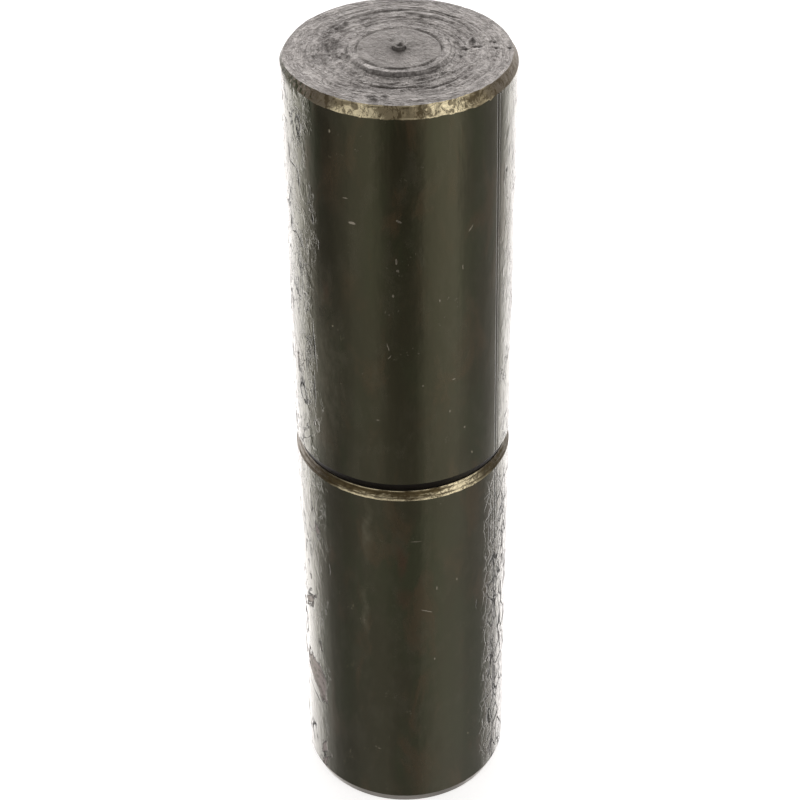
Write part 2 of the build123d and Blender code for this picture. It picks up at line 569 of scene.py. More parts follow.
# Stains on the oiled scale, by the name of their colour, in the same terms as the knocks but upright.
STAINS = {
    "stain": ((-0.2, 55.7, 3.0, 2.2), (-2.0, 64.0, 4.5, 1.2), (-41.0, 121.8, 2.4, 1.0)),
    "scale_brown": ((-34.0, 147.0, 9.5, 3.2), (-27.0, 124.0, 6.0, 2.0)),
    "smear": ((-19.0, 71.5, 8.0, 1.0), (-20.6, 51.5, 7.5, 1.1), (-45.0, 104.0, 26.0, 5.6)),
    "scale_green": ((24.0, 70.0, 7.0, 4.5), (6.0, 108.0, 9.0, 3.4)),
}


def age_skin(piece, base):
    """Stores, for the skin's finish, how stained, how crumpled and how torn the scale is."""
    bearing = from_front(base)
    height = base[:, 2] / MM
    skin = np.flatnonzero(np.hypot(base[:, 0], base[:, 1]) > BARREL_R - NEAR)
    stray = np.array([noise.noise_vector(Vector(place) * 230)[:2] for place in base[skin]]) * 1.3
    arc = np.radians(bearing[skin]) * BARREL_R / MM + stray[:, 0]
    for name, spots in STAINS.items():
        depth = np.zeros(len(base))
        for degrees, level, half_long, half_wide in spots:
            across = (arc - math.radians(degrees) * BARREL_R / MM) / half_wide
            along = (height[skin] + stray[:, 1] - level) / half_long
            depth[skin] = np.maximum(depth[skin], ramp(np.hypot(across, along), [0.3, 1.05], [1, 0]))
        mark(piece, "on_" + name, depth)
    left = ramp(height, [0, 58, 68, 78, 84, 138, 152], [0.2, 0.2, 0.8, 0.9, 1, 1, 1.7])
    right = ramp(height, [78, 84], [0.3, 0.55])
    behind = ramp(np.abs(bearing), [85, 120], [1, 0.35])
    mark(piece, "crumpled", np.where(bearing < 0, left, right) * behind)
    torn = ramp(bearing, [47, 58, 66, 78, 92], [0, 0.9, 1, 0.8, 0.2])
    mark(piece, "torn", torn * ramp(height, [0, 5, 28, 60, 74, 80], [0.9, 1, 1, 1, 0.7, 0]))


def wear(piece, base, points, **marks):
    """Moves the vertices to where the tools and handling left them, and stores what the finish reads."""
    set_points(piece, points)
    for name, values in marks.items():
        mark(piece, name, values)
    age_skin(piece, base)


def oiled_skin(add, colours):
    """What the bar's skin has everywhere: its colour with oil and stains, its roughness, the reliefs
    that the rolls left, and two of its noises."""
    streaks, pulled, waves, grit, patch, green, film = (
        add(
            "TexNoise", Vector=stretched(add, z=z), Scale=scale, Detail=detail, Roughness=rough,
            Distortion=bent,
        )
        for z, scale, detail, rough, bent in (
            (0.012, 1300, 4, 0.65, 0), (0.05, 330, 4, 0.6, 0), (0.3, 110, 4, 0.55, 0), (1, 1900, 4, 0.65, 0),
            (0.4, 150, 5, 0.6, 0.5), (0.3, 85, 5, 0.6, 0.3), (0.45, 310, 6, 0.66, 0.3),
        )
    )
    mottled = (green, 0.42, 0.6, 1.0), (patch, 0.5, 0.66, 1.0), (film, 0.45, 0.7, 0.5)
    shares = [add("MapRange", cloud, low, high, 0.0, most, **SMOOTH) for cloud, low, high, most in mottled]
    tints = colours.scale_green, colours.scale_brown, colours.scale_dusty
    tint = painted(add, colours.scale, *zip(shares, tints))
    blotchy = add("MapRange", film, 0.3, 0.6, 0.1, 0.8)
    for name in STAINS:
        spot = add("Attribute", attribute_name="on_" + name, output="Fac")
        share = add("Math", blotchy, spot, operation="MULTIPLY")
        tint = painted(add, tint, (share, getattr(colours, name)))
    worn = add("MapRange", patch, 0.35, 0.65, 0.13, 0.2, **SMOOTH)
    layers = [(waves, 0.13), (patch, 0.06), (pulled, 0.035), (film, 0.02)]
    return tint, worn, layers, streaks, grit


def front_scale(colours):
    """Hot-rolled bar with its oxide skin, oiled, where the eye looks straight at it: near black and
    glossy, mottled green and brown, with faint streaks along the bar and small bright knocks."""
    material, add = new_material("mill_scale_front")
    tint, worn, layers, streaks, grit = oiled_skin(add, colours)
    plain = stretched(add)
    sparse = add("MapRange", add("TexNoise", Vector=plain, Scale=210, Detail=2), 0.62, 0.68, **SMOOTH)
    knocks = add("TexNoise", Vector=plain, Scale=1500, Detail=2, Distortion=1.5)
    knocks = add("MapRange", knocks, 0.67, 0.71, **SMOOTH)
    knocks = add("Math", knocks, sparse, operation="MULTIPLY")
    struck = outlines(add, side_coordinates(add), KNOCKS, 1700, 0.16 * MM)
    knocks = add("Math", knocks, struck, operation="MAXIMUM")
    tint = painted(add, tint, (knocks, colours.nick))
    normal = relief(add, *layers, (streaks, 0.008), (grit, 0.002), (knocks, -0.03))
    shader = add(
        "BsdfPrincipled", Base_Color=tint, Metallic=knocks, Roughness=worn, IOR=1.6,
        Specular_Tint=colours.sheen, Normal=normal,
    )
    add("OutputMaterial", shader)
    return material


def flank_scale(colours):
    """The same skin on the flanks and the back, where the light grazes it and shows every crack: long
    streaks, lifted flakes with dark edges, a rolled seam and patches peeled to grey steel. Cracks, flake
    edges, seams and splits are painted near black and kept from reflecting, as painted shade with dirt."""
    material, add = new_material("mill_scale_flank")
    tint, worn, layers, streaks, grit = oiled_skin(add, colours)
    plain = stretched(add)
    long_way = stretched(add, z=0.45)
    side = side_coordinates(add)
    place = add("SeparateXYZ", plain).node.outputs
    crumpled, torn = (add("Attribute", attribute_name=name, output="Fac") for name in ("crumpled", "torn"))

    # Where the flank begins: further back high on the right, along a ragged line.
    right = add("MapRange", place["X"], 0.0, 10 * MM, 0.0, 1.4 * MM)
    higher = add("MapRange", place["Z"], 50 * MM, 85 * MM, 1.0, 2.3)
    right = add("Math", right, higher, operation="MULTIPLY")
    depth = add("Math", place["Y"], right, operation="SUBTRACT")
    ragged = add("TexNoise", Vector=stretched(add, z=0.5), Scale=330, Detail=4, Roughness=0.65)
    ragged = add("MapRange", ragged, 0.36, 0.64, 0.0, -3.2 * MM)
    depth = add("Math", depth, ragged, operation="ADD")
    flank = add("MapRange", depth, -15.2 * MM, -11.4 * MM, **SMOOTH)
    behind = add("MapRange", place["Y"], 0.0, 9 * MM, 1.0, 0.35)
    behind = add("Math", behind, flank, operation="MULTIPLY")

    # Plates, chips and folds of crumpled scale.
    skin = add("TexNoise", Vector=long_way, Scale=150, Detail=7, Roughness=0.62, Distortion=0.7)
    blots = add("TexNoise", Vector=long_way, Scale=520, Detail=5, Roughness=0.6, Distortion=0.5)
    folds = add(
        "TexNoise", Vector=stretched(add, z=0.55), Scale=430, Detail=4, Roughness=0.6, Distortion=0.7
    )
    crumpled = add("Math", crumpled, flank, operation="MULTIPLY")
    plates, chips, furled = (
        add("Math", add("MapRange", cloud, low, high, **SMOOTH), crumpled, operation="MULTIPLY")
        for cloud, low, high in ((skin, 0.490, 0.508), (blots, 0.56, 0.60), (folds, 0.485, 0.515))
    )
    kept = add("MapRange", blots, 0.42, 0.5)
    some = add("MapRange", add("TexNoise", Vector=plain, Scale=130, Detail=2), 0.48, 0.56, **SMOOTH)
    cracks = fissures(add, skin, 0.498, 0.001, 0.009, **SMOOTH)
    cracks = add("Math", cracks, some, operation="MULTIPLY")
    flakes = outlines(add, side, FLAKES, 420, 1.1 * MM, rim=0.32)
    flakes = add("Math", flakes, kept, operation="MULTIPLY")
    cracks = add("Math", cracks, flakes, operation="MAXIMUM")
    dark = add("Math", cracks, behind, operation="MULTIPLY")
    splits = outlines(add, side, SPLITS, 300, 0.5 * MM, core=0.15)
    creases = fissures(add, folds, 0.485, 0.0, 0.012, 0.75)
    for where in (some, crumpled):
        creases = add("Math", creases, where, operation="MULTIPLY")

    # Patches peeled to the steel, most of all one low on the left.
    shown = add("MapRange", behind, 0.1, 0.7, **SMOOTH)
    peel = add("TexNoise", Vector=long_way, Scale=120, Detail=8, Roughness=0.68, Distortion=1.4)
    near = add(
        "Mapping", Vector=side, vector_type="TEXTURE", Scale=(4.2 * MM, 8.0 * MM, 1),
        Location=(math.radians(-64) * BARREL_R, 26.5 * MM, 0), Rotation=(0, 0, math.radians(48)),
    )
    near = add("VectorMath", near, operation="LENGTH", output="Value")
    peel = add("Math", peel, add("MapRange", near, 0.2, 1.3, 0.22, 0.0, **SMOOTH), operation="ADD")
    peeled, rim = (
        add("Math", share, shown, operation="MULTIPLY")
        for share in (
            add("MapRange", peel, 0.63, 0.645, **SMOOTH), fissures(add, peel, 0.632, 0.0, 0.014, **SMOOTH)
        )
    )

    # The rolled seams, and the tears low on the right.
    apart = add("SeparateXYZ", side).node.outputs
    wobble = add("TexNoise", Vector=stretched(add, 0.2, 0.2, 1), Scale=160, Detail=3)
    wound = add("Math", apart["Y"], 0.93 * BARREL_R, apart["X"], operation="MULTIPLY_ADD")
    wound = add("Math", wobble, 0.24 * MM, wound, operation="MULTIPLY_ADD")
    seams = [
        fissures(add, wound, level * MM, width * 0.3 * MM, width * MM, strength)
        for level, width, strength in SEAMS
    ]
    tilted = add("Mapping", Vector=side, Rotation=(0, 0, math.radians(-28)), Scale=(1, 0.5, 1))
    cells = add(
        "TexVoronoi", Vector=strayed(add, tilted, 500, 0.35 * MM), Scale=420,
        feature="DISTANCE_TO_EDGE", output="Distance",
    )
    gaps = add("MapRange", cells, 0.02, 0.07, 1.0, 0.0, **SMOOTH)
    for where in (torn, kept):
        gaps = add("Math", gaps, where, operation="MULTIPLY")
    rise = add("TexNoise", Vector=tilted, Scale=640, Detail=4, Roughness=0.6, Distortion=0.6)
    tears = add("Math", torn, add("MapRange", rise, 0.48, 0.53, **SMOOTH), operation="MULTIPLY")
    for line in (splits, creases, rim, *seams, gaps):
        dark = add("Math", dark, line, operation="MAXIMUM")

    even = add("MapRange", place["Y"], 0.0, 9 * MM, 0.0, 0.65)
    scab = add("TexNoise", Vector=plain, Scale=700, Detail=4, Roughness=0.6)
    scab = add("MapRange", scab, 0.42, 0.66, **SMOOTH)
    bare = painted(add, colours.peeled, (scab, colours.peeled_dark))
    scraped = add("Math", tears, 0.3, operation="MULTIPLY")
    # The dark lines are painted near black, as painted shade with dirt.
    coats = (even, colours.scale), (peeled, bare), (scraped, bare), (dark, colours.split)
    tint = painted(add, tint, *coats)
    for share, matt in ((peeled, 0.5), (dark, 0.6)):
        worn = add("Mix", inputs={0: share, 2: worn, 3: matt})
    fine, gritty = (
        add("Math", add("MapRange", flank, 0.0, 1.0, least, 1.0), cloud, operation="MULTIPLY")
        for cloud, least in ((streaks, 0.4), (grit, 0.1))
    )
    normal = relief(
        add, *layers, (tears, 0.06), (fine, 0.02), (plates, 0.04), (dark, -0.22), (chips, 0.04),
        (furled, 0.06), (peeled, -0.06), (gritty, 0.02),
    )
    # Painted shade: the dark lines also take the light out of the reflection.
    crack_shade = add("Math", dark, 0.9, operation="MULTIPLY")
    shader = add(
        "BsdfPrincipled", Base_Color=tint, Metallic=add("Math", peeled, 0.15, operation="MULTIPLY"),
        Roughness=worn, IOR=1.6, Specular_Tint=painted(add, colours.sheen, (crack_shade, colours.split)),
        Normal=normal,
    )
    add("OutputMaterial", shader)
    return material


def turned_bevel(name, clean_and_highlit, dull, shaded_side, around, across):
    """Bevel cut through the scale: bare steel that looks golden under straw-coloured oil where it was wiped
    and where painted highlights fall, and dull elsewhere with dirt and painted shade, in specks drawn out
    round the ring."""
    material, add = new_material(name)
    plain = stretched(add)
    rings = ring_coordinates(add, around, across)
    hollow, worn, grime = (
        add("Attribute", attribute_name=name, output="Fac") for name in ("hollow", "worn_edge", "grime")
    )
    crumple = add("TexNoise", Vector=plain, Scale=900, Detail=5, Roughness=0.65, Distortion=0.4)
    specks = add("TexNoise", Vector=rings, Scale=1, Detail=5, Roughness=0.68, Distortion=0.5)
    # Painted highlights along the bevel's edges, together with wear, keep them bright gold.
    rubbed_and_highlit = add("MapRange", worn, 0.1, 0.8, 1.0, 0.0, **SMOOTH)
    # The mesh's share of dull holds both dirt and painted shade.
    grime = add("Math", specks, 1.5, grime, operation="MULTIPLY_ADD")
    grime = add("MapRange", grime, 1.02, 1.4, **SMOOTH)
    grime = add("Math", grime, rubbed_and_highlit, operation="MULTIPLY")
    rings = ring_coordinates(add, around, across * 0.22)
    cracks = add("TexNoise", Vector=rings, Scale=1, Detail=4, Roughness=0.65, Distortion=0.8)
    cracks = fissures(add, cracks, 0.5, 0.004, 0.026, 0.75, **SMOOTH)
    pocks = add("TexNoise", Vector=plain, Scale=620, Detail=4, Roughness=0.6, Distortion=0.6)
    pocks = add("MapRange", pocks, 0.52, 0.6, 0.0, 0.75, **SMOOTH)
    dirty = add("Math", cracks, pocks, operation="MAXIMUM")
    dirty = add("Math", dirty, rubbed_and_highlit, operation="MULTIPLY")
    # The mesh's darker places, such as the furrows in the lower joint bevel, take the same dark colour.
    dirty = add("Math", dirty, hollow, operation="MAXIMUM")

    # Painted shade: the bevel turns darker towards its flanks, away from the front, along with dirt.
    place = add("SeparateXYZ", plain).node.outputs
    left = add("MapRange", place["X"], -12 * MM, -4 * MM, 3.2 * MM, 0.0)
    depth = add("Math", place["Y"], left, operation="ADD")
    cloud = add("TexNoise", Vector=plain, Scale=260, Detail=4, Roughness=0.6)
    depth = add("Math", cloud, 8 * MM, depth, operation="MULTIPLY_ADD")
    flank = add("MapRange", depth, -11.5 * MM, -6.5 * MM, **SMOOTH)
    film = add("MapRange", place["X"], -20 * MM, -14 * MM, 0.9, 0.0)
    film = add("Math", film, specks, operation="MULTIPLY")
    grey, dirt = linear("#bdb7b0"), linear("#4a3f2a")
    tint = painted(add, clean_and_highlit, (grime, dull), (flank, shaded_side), (film, grey), (dirty, dirt))
    matt = add("MapRange", add("Math", grime, flank, operation="MAXIMUM"), 0.0, 1.0, 0.2, 0.38)
    normal = relief(add, (crumple, 0.13), (specks, 0.1), (cracks, -0.04))
    shader = add("BsdfPrincipled", Base_Color=tint, Metallic=1.0, Roughness=matt, Normal=normal)
    add("OutputMaterial", shader)
    return material


def parted_steel(colours):
    """End torn off by a parting tool: grey steel, grainy and matt, with fine broken ring lines painted
    darker, and short tears across them where the tool chattered."""
    material, add = new_material("parted_off_steel")
    plain = stretched(add)
    hollow, chatter = (
        add("Attribute", attribute_name=name, output="Fac") for name in ("hollow", "chatter")
    )
    field = add("MapRange", distance_out(add), 6.9 * MM, 7.6 * MM, **SMOOTH)
    lines = 0.0
    for around, across, level, width, strength in (
        (1.7, 1050, 0.5, 0.06, 1.0), (5.5, 1500, 0.47, 0.05, 0.85), (3.0, 800, 0.56, 0.045, 0.9),
    ):
        line = add(
            "TexNoise", Vector=ring_coordinates(add, around, across), Scale=1, Detail=2, Distortion=0.5
        )
        line = fissures(add, line, level, 0.0, width, strength)
        lines = add("Math", lines, line, operation="MAXIMUM")
    broken = add("TexNoise", Vector=plain, Scale=420, Detail=3, Roughness=0.6)
    broken = add("MapRange", broken, 0.36, 0.54, 0.15, 1.0, **SMOOTH)
    inside = add("MapRange", field, 0.0, 1.0, 0.45, 1.0)
    for where in (broken, inside):
        lines = add("Math", lines, where, operation="MULTIPLY")
    tears, furrows, *steps = (
        add(
            "TexNoise", Vector=ring_coordinates(add, around, across), Scale=1, Detail=3, Roughness=rough,
            Distortion=bent,
        )
        for around, across, rough, bent in (
            (15, 800, 0.6, 1.2), (4.5, 1500, 0.6, 0.6), (5, 850, 0.62, 0.9), (11, 1050, 0.62, 0.9),
        )
    )
    tears = fissures(add, tears, 0.5, 0.0, 0.08)
    tears = add("Math", tears, chatter, operation="MULTIPLY")
    edges = 0.0
    for step in steps:
        edges = add("Math", edges, add("MapRange", step, 0.46, 0.54), operation="ADD")
    edges = add("Math", edges, inside, operation="MULTIPLY")
    cloud = add("TexNoise", Vector=plain, Scale=330, Detail=5, Roughness=0.62)
    fine = add("TexNoise", Vector=plain, Scale=2100, Detail=4, Roughness=0.65)

    marks = add("Math", lines, tears, operation="MAXIMUM")
    marks = add("Math", marks, 0.7, operation="MULTIPLY")
    # The lines, tears, furrows and pits are painted darker, and so is the painted shadow at the stub's front
    # foot.
    deep = add("MapRange", cloud, 0.4, 0.75, 0.0, 0.2, **SMOOTH)
    for grimy in (marks, hollow):
        deep = add("Math", deep, grimy, operation="MAXIMUM")
    tint = painted(add, colours.parted_disc, (field, colours.parted), (deep, colours.parted_dark))
    normal = relief(
        add, (furrows, 0.1), (cloud, 0.07), (edges, 0.06), (lines, -0.08), (tears, -0.09), (fine, 0.06)
    )
    matt = add("MapRange", cloud, 0.3, 0.7, 0.26, 0.38)
    shader = add("BsdfPrincipled", Base_Color=tint, Metallic=1.0, Roughness=matt, Normal=normal)
    add("OutputMaterial", shader)
    return material


def turned_steel(name, tint, roughness, marks, depth):
    """Machined steel with faint smudges and fine tool marks round the axis, `marks` to the metre and
    `depth` millimetres deep."""
    material, add = new_material(name)
    lines = add("TexNoise", Vector=ring_coordinates(add, 3, marks), Scale=1, Detail=2)
    smudge = add("TexNoise", Vector=stretched(add), Scale=140, Detail=3)
    share = add("MapRange", smudge, 0.35, 0.75, **SMOOTH)
    tint = painted(add, tint, (share, [v * 0.72 for v in tint[:3]] + [1]))
    matt = add("MapRange", smudge, 0.0, 1.0, roughness * 0.8, roughness * 1.2)
    normal = relief(add, (lines, depth))
    shader = add("BsdfPrincipled", Base_Color=tint, Metallic=1.0, Roughness=matt, Normal=normal)
    add("OutputMaterial", shader)
    return material


# ---------------------------------------------------------------- pieces


class HINGE_OT_upper_barrel(Operator):
    """Turns the leaf's barrel, with its torn top face, nicked bevels and running bore"""

    bl_idname = "hinge.upper_barrel"
    bl_label = "Upper barrel"

    def execute(self, context):
        sizes, colours = context.scene.hinge_sizes, context.scene.hinge_colours
        top = UPPER_HIGH.z - sizes.stub_height - sizes.disc_rise
        disc_top = top + sizes.disc_rise
        foot = UPPER_LOW.z
        bore_r = PIN_R + sizes.clearance
        centre = (BALL_LOW.z + BALL_HIGH.z) / 2
        bore_tip = centre + BALL_R / math.sin(DRILL_HALF) + 0.05 * MM
        bore_end = bore_tip - bore_r / math.tan(DRILL_HALF)
        fine = 0.17 * MM
        corners = [
            (0, bore_tip, 3 * MM),
            (bore_r, bore_end, 20 * MM),
            (bore_r, foot + sizes.mouth, MM),
            (bore_r + sizes.mouth, foot, 2 * MM),
            (BARREL_R - sizes.joint_in, foot, 0.3 * MM),
            (BARREL_R, foot + sizes.joint_along, 1.3 * MM),
            (BARREL_R, top - sizes.crown_down, 0.16 * MM),
            (BARREL_R - sizes.crown_in, top, fine),
            (sizes.ring_r, top, fine),
            (sizes.ring_r - 0.3 * MM, disc_top, fine),
            (sizes.disc_r + 0.35 * MM, disc_top, fine),
            (sizes.disc_r, disc_top - 0.3 * MM, fine),
            (sizes.disc_r - 0.35 * MM, disc_top, fine * 1.3),
            (sizes.stub_r + 0.15 * MM, disc_top, fine),
            (sizes.stub_r, disc_top + 0.1 * MM, fine),
            (sizes.stub_r - 0.3 * MM, disc_top + sizes.stub_height, fine),
            (0, disc_top + sizes.stub_height, fine),
        ]
        piece = turned_blank("upper_barrel_turned", corners, sizes.segments)
        r, z, bearing = face_middles(piece)
        zones = np.zeros(len(r))
        crown_faces = (z > top - sizes.crown_down) & (r > BARREL_R - sizes.crown_in)
        # Skin from the bar hides the crown's left end, within ragged borders.
        left_end = bearing > -106 + 9 * np.sin(z / MM * 2.4 + bearing * 0.3)
        left_end &= bearing < -58 + 12 * np.sin(z / MM * 2.9) * np.sin(bearing * 1.7)
        zones[(np.abs(bearing) < FRONT_HALF) & (r > BARREL_R - NEAR)] = FRONT
        zones[(z < foot + sizes.joint_along) & (r > BARREL_R - sizes.joint_in)] = HIDDEN
        zones[crown_faces & ~left_end] = BEVEL
        zones[(z > top - 0.5 * MM) & (r < BARREL_R - sizes.crown_in)] = END
        zones[(z < foot + sizes.mouth) & (r < BARREL_R - sizes.joint_in)] = TURNED
        zones[(z < bore_tip) & (r < bore_r + NEAR)] = TURNED
        base = points_of(piece)
        points = base.copy()
        crown = ((BARREL_R, top - sizes.crown_down), (BARREL_R - sizes.crown_in, top))
        joint = ((BARREL_R, foot + sizes.joint_along), (BARREL_R - sizes.joint_in, foot))
        share = nicked_rim(points, base, *crown, UPPER_SEED, 0.4 * MM, worst=-60, faded=0.25, covered=0.5)
        nicked_rim(points, base, *joint, 9.0, 0.15 * MM)
        hollow, chatter = tear_parted_face(points, base, top, BARREL_R - sizes.crown_in, sizes)
        rubbed_and_highlit = worn_edges(base, share, UPPER_SEED) * 0.7
        # Painted highlights and shade on the top bevel, placed by bearing, with dirt.
        grime = crown_grime(base, share)
        wear(piece, base, points, hollow=hollow, chatter=chatter, worn_edge=rubbed_and_highlit, grime=grime)
        oil_and_shade_tints = colours.bevel, colours.bevel_dull, colours.bevel_side_dirt_and_shade
        finishes = [
            flank_scale(colours),
            turned_bevel("crown_bevel_oil_and_painted_light", *oil_and_shade_tints, around=11, across=4200),
            parted_steel(colours),
            turned_steel("bored_steel", colours.faced, 0.4, 3000, 0.01),
            front_scale(colours),
            # Painted shade: the upper barrel's lower bevel faces down into the joint and is painted near
            # black.
            turned_steel("shaded_joint_bevel", linear("#1b1712"), 0.5, 2500, 0.02),
        ]
        dress(piece, finishes, zones)
        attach(piece, "upper")
        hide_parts("upper_barrel")
        return {"FINISHED"}


# Chips and pits on the parted face: (x, y, half length round, half width across, height), in millimetres.
FACE_CHIPS = (
    (12.4, 3.4, 0.5, 0.6, 0.55), (9.7, 2.8, 0.55, 0.5, 0.5), (8.3, 3.6, 0.4, 0.35, 0.25),
    (10.8, 0.9, 0.5, 0.4, 0.3), (-8.7, -2.4, 0.5, 0.35, 0.45), (-9.4, -1.0, 0.4, 0.3, 0.3),
    (-9.0, 10.2, 0.6, 0.3, 0.35), (-4.6, -15.9, 0.7, 0.22, -0.25), (-2.4, -15.8, 0.6, 0.2, -0.22),
    (-4.2, -16.3, 0.5, 0.2, 0.2), (12.8, 1.1, 0.2, 0.9, -0.35), (11.0, 0.1, 0.18, 0.75, -0.3),
    (16.1, 0.7, 0.2, 0.5, -0.35), (18.5, 0.5, 0.18, 0.5, -0.35), (10.2, -2.4, 0.3, 0.3, -0.3),
    (16.0, 2.9, 0.25, 0.5, -0.25), (15.2, 3.1, 0.2, 0.5, 0.2), (-6.5, -0.5, 0.8, 0.35, -0.2),
    (-1.2, 2.6, 0.5, 0.5, -0.2), (-12.6, -5.2, 0.8, 0.4, 0.2), (-13.2, -3.4, 0.7, 0.4, 0.2),
)


def chips_and_pits(share, angle):
    """How far the chips stand up and the pits go down, by radius in millimetres and bearing."""
    chips, pits = np.zeros(len(share)), np.zeros(len(share))
    for x, y, half_round, half_across, height in FACE_CHIPS:
        far = math.hypot(x, y)
        across = (share - far) / half_across
        round_it = (angle - math.atan2(y, x) + math.pi) % (2 * math.pi) - math.pi
        bell = np.exp(-(across**2) - (round_it * far / half_round) ** 2)
        chips += max(height, 0) * bell
        pits -= min(height, 0) * bell
    return chips, pits


def tear_parted_face(points, base, top, rim_r, sizes):
    """Furrows, chatter, chips and pits that the parting tool left on the end. Gives back how much darker each
    vertex is painted, in the furrows and pits, along the rim towards the back and as a painted shadow at the
    stub's front foot, and how much the tool chattered there, both from 0 to 1, for the finish."""
    r = np.hypot(base[:, 0], base[:, 1])
    face = np.flatnonzero((base[:, 2] > top - 0.5 * MM) & (r < rim_r - NEAR))
    spots, radius = base[face], r[face]
    angle = bearings(spots)
    share = radius / MM
    stray = ring_noise(spots, 1.3, 90) * 0.8 + ring_noise(spots, 5, 260, 5.0) * 0.22
    stray *= ramp(share, [0, 4, 10, 19], [0.1, 0.4, 1, 0.8])
    bent = spots.copy()
    bent[:, :2] *= (1 + stray * MM / np.maximum(radius, MM))[:, None]
    ring = np.hypot(bent[:, 0], bent[:, 1]) / MM

    long_arcs = crease(ring_noise(bent, 1.15, 900, 2.0), 0.3)
    fine_arcs = crease(ring_noise(bent, 2.6, 1250, 12.0), 0.28)
    swells = ring_noise(bent, 1.7, 520, 31.0)
    ridges = ring_noise(bent, 3.0, 1300, 11.0)
    left_hand = crease(ring_noise(twisted(bent, 130), 17, 420, 21.0), 0.3)
    right_hand = crease(ring_noise(twisted(bent, -150), 19, 380, 51.0), 0.3)
    torn = np.clip(ring_noise(spots, 3.2, 190, 41.0) * 3 + 0.45, 0, 1)
    crumbs = ring_noise(spots, 24, 1500, 61.0)
    dents = crease(ring_noise(bent, 8, 700, 66.0), 0.22)

    back_right = sector(angle, 55, 75)
    back_left = sector(angle, 160, 62)
    field = ramp(share, [8.6, 9.4, 15.5, 17.2], [0, 1, 1, 0.25])
    drop = long_arcs * (0.12 + 0.07 * back_right + 0.04 * sector(angle, -25, 50)) * field
    drop += fine_arcs * 0.09 * ramp(share, [8.6, 9.4, 17.2, 19], [0, 1, 0.7, 0.5]) * (0.5 + 0.5 * torn)
    chatter = ramp(share, [8.8, 9.8, 13.6, 15.2], [0, 1, 1, 0.15]) * (0.2 + 0.8 * back_left)
    drop += np.maximum(left_hand, right_hand) * torn * chatter * 0.13
    drop += dents * torn * 0.06 * ramp(share, [9, 11, 18.6, 19], [0.3, 1, 1, 0.5])
    drop += crease(ring_noise(bent, 1.4, 520, 71.0), 0.2) * 0.04 * ramp(share, [2, 4, 6.6, 7], [0, 1, 1, 0])
    for place, reach, all_round, more, middle, spread in (
        (12.75, 0.4, 0, 0.2, -108, 62), (13.9, 0.4, 0, 0.12, -60, 70), (16.4, 0.35, 0, 0.08, -20, 60),
        (9.1, 0.3, 0.04, 0.1, -125, 70), (7.3, 0.25, 0, 0.06, -95, 120),
    ):
        drop += window(ring, place, reach) * (all_round + more * sector(angle, middle, spread))

    closed = np.clip(ring_noise(spots, 2.5, 60, 101.0) * 1.5 + 0.5 + 0.5 * sector(angle, 15, 65), 0, 1)
    fill = window(share, 7.2, 0.36) * 0.22 * closed + window(share, 9.3, 1.0) * 0.2 * (0.4 + 0.6 * closed)
    rise = fill + swells * ramp(share, [0, 6, 9, 16, 19], [0.02, 0.04, 0.12, 0.12, 0.08])
    rise += ridges * ramp(share, [0, 7, 9, 15, 17, 19], [0.02, 0.04, 0.11, 0.11, 0.06, 0.05])
    rise += crumbs * ramp(share, [0, 7, 9, 15, 17], [0.03, 0.04, 0.07, 0.06, 0.05])
    plate = np.clip(ring_noise(spots, 5.5, 420, 81.0) * 14, 0, 1)
    rise += plate * 0.14 * sector(angle, -50, 45) * window(share, 10.6, 2.4)
    burr = window(share, rim_r / MM - 0.25, 0.5) * np.clip(ring_noise(spots, 9, 100, 91.0), 0, 1)
    rise += burr * 0.25 * sector(angle, -120, 120)

    chips, pits = chips_and_pits(share, angle)
    rise += chips
    edge = np.clip((rim_r - radius) / (0.6 * MM), 0, 1)
    stub = radius < sizes.stub_r
    dz = (rise - drop - pits) * edge
    burr = window(np.hypot(spots[stub, 0] - 0.3 * MM, spots[stub, 1] - 0.4 * MM) / MM, 0, 0.9)
    dz[stub] = -0.35 * (1 - burr) - np.abs(ring_noise(spots[stub], 1.5, 1500, 55.0)) * 0.15
    points[face, 2] = np.minimum(points[face, 2] + dz * MM, UPPER_HIGH.z)
    hollow = np.zeros(len(r))
    hollow[face] = np.clip((drop - 0.09) / 0.2 + pits / 0.3, 0, 0.85)
    # Darker along the rim towards the back.
    back_edge = window(share, rim_r / MM, 0.35) * ramp(spots[:, 1], [-4 * MM, 4 * MM], [0, 0.7])
    hollow[face] = np.maximum(hollow[face], back_edge)
    rough = np.zeros(len(r))
    rough[face] = np.clip(torn * ramp(share, [8.8, 9.8, 14, 16], [0, 1, 1, 0.3]) * (0.35 + back_left), 0, 1)
    # Painted shadow at the foot of the stub, on its front side.
    stub_shadow = window(share, sizes.stub_r / MM + 0.1, 0.35) * sector(angle, -100, 120)
    hollow[face] = np.maximum(hollow[face], stub_shadow * 0.7)
    return hollow, rough


